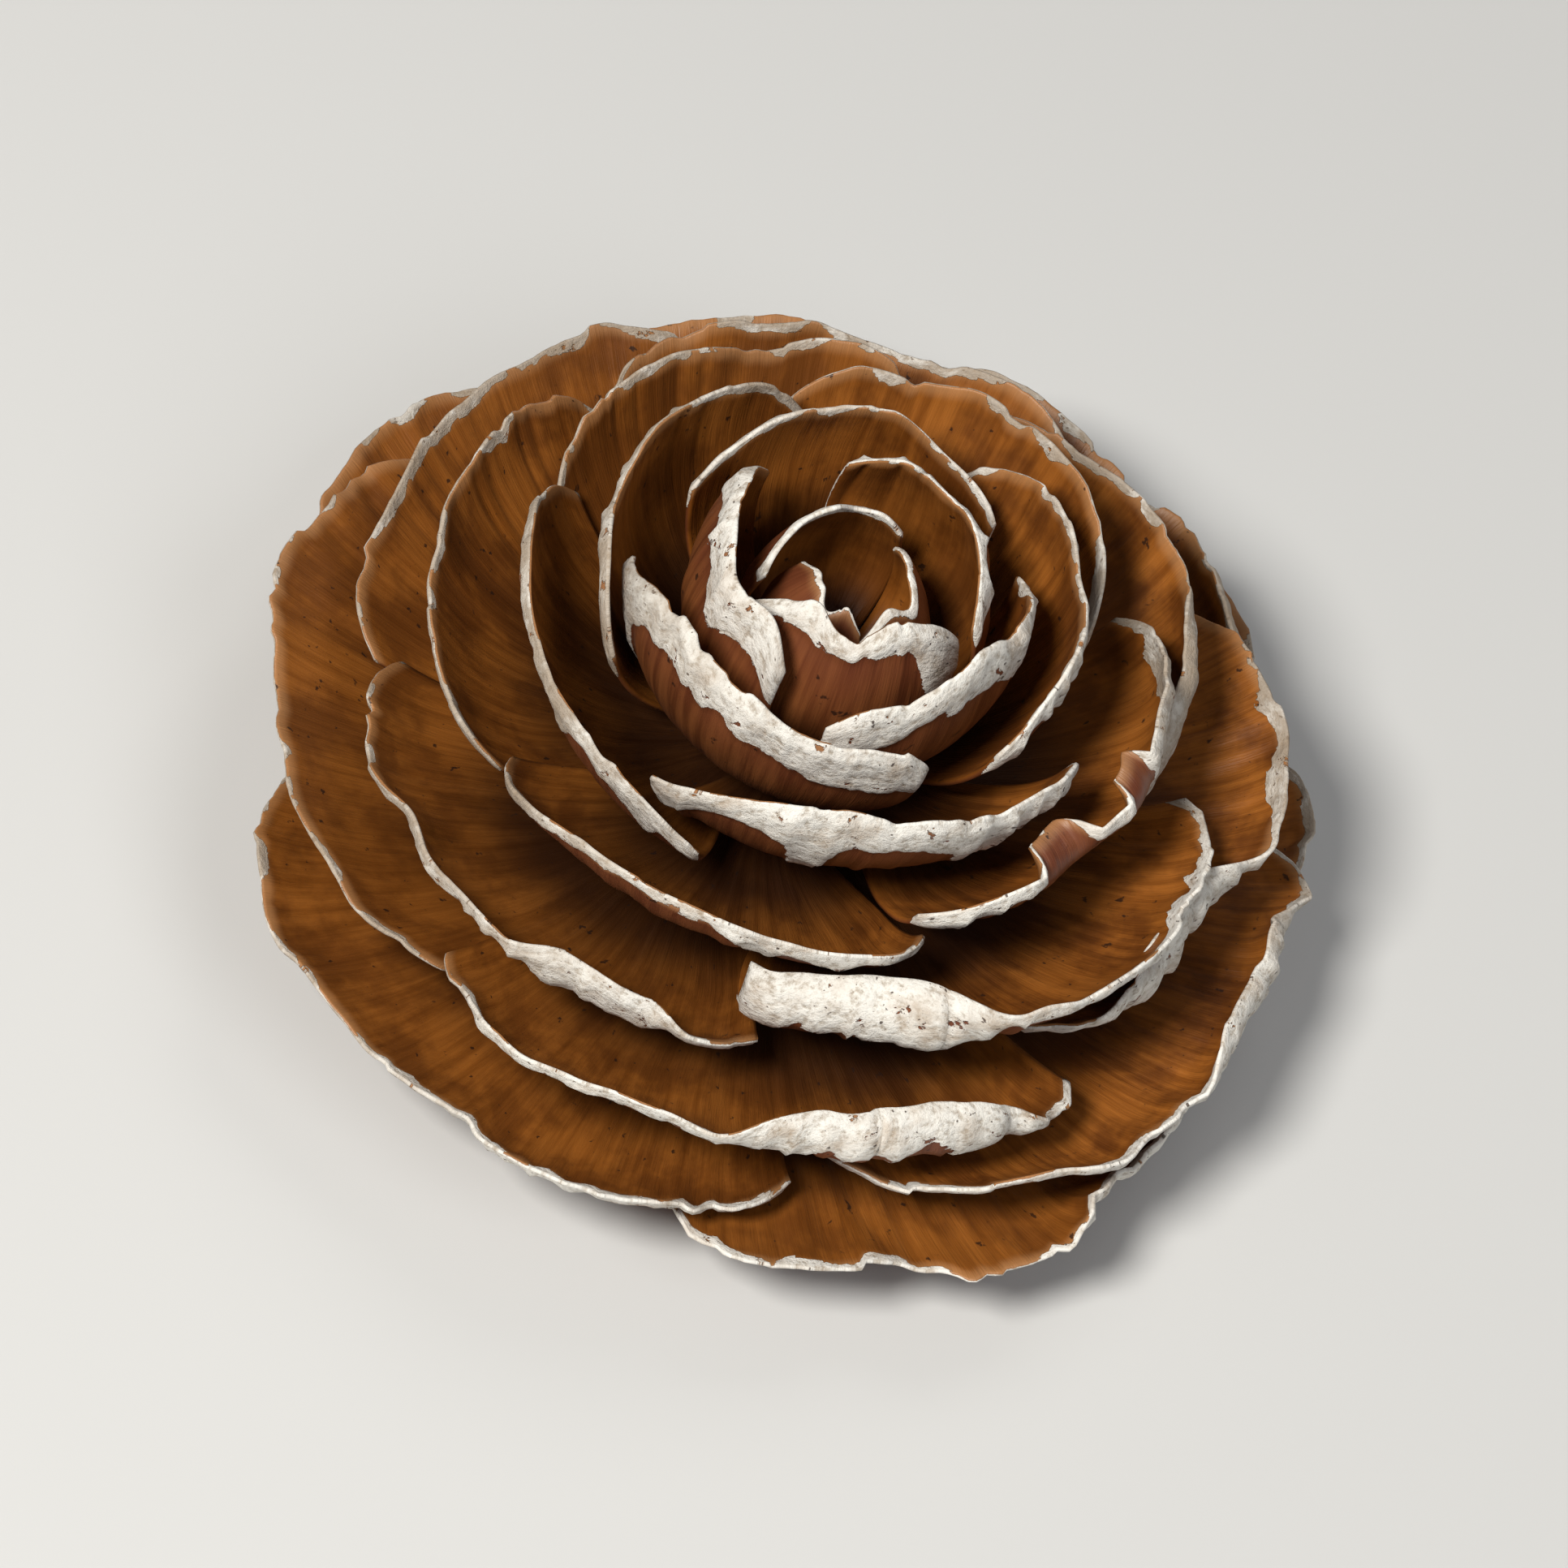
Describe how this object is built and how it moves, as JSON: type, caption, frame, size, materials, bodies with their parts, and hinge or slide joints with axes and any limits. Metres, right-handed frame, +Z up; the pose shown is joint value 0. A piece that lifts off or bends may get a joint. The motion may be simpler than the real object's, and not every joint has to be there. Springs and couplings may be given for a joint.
{
  "type": "cedar rose",
  "caption": "Opened tip of a deodar cedar cone, shaped like a rose: thin woody fan scales in a spiral round a short axis, with pale dried resin along their rims.",
  "frame": {"origin": "centre of the broken end of the woody axis, on the surface that the rose stands on", "axes": "+Z up along the woody axis, towards the bud; +X across the rose; the scales climb the axis in a spiral about +Z"},
  "size_m": [0.0529, 0.0526, 0.0253],
  "materials": {
    "cone_scale": "dry brown cone scale, slightly satin inside, with a matt off-white crust of dried resin along the rims and on the outer faces"
  },
  "bodies": {
    "root": {"cedar_rose": "cone_scale"}
  },
  "joints": []
}
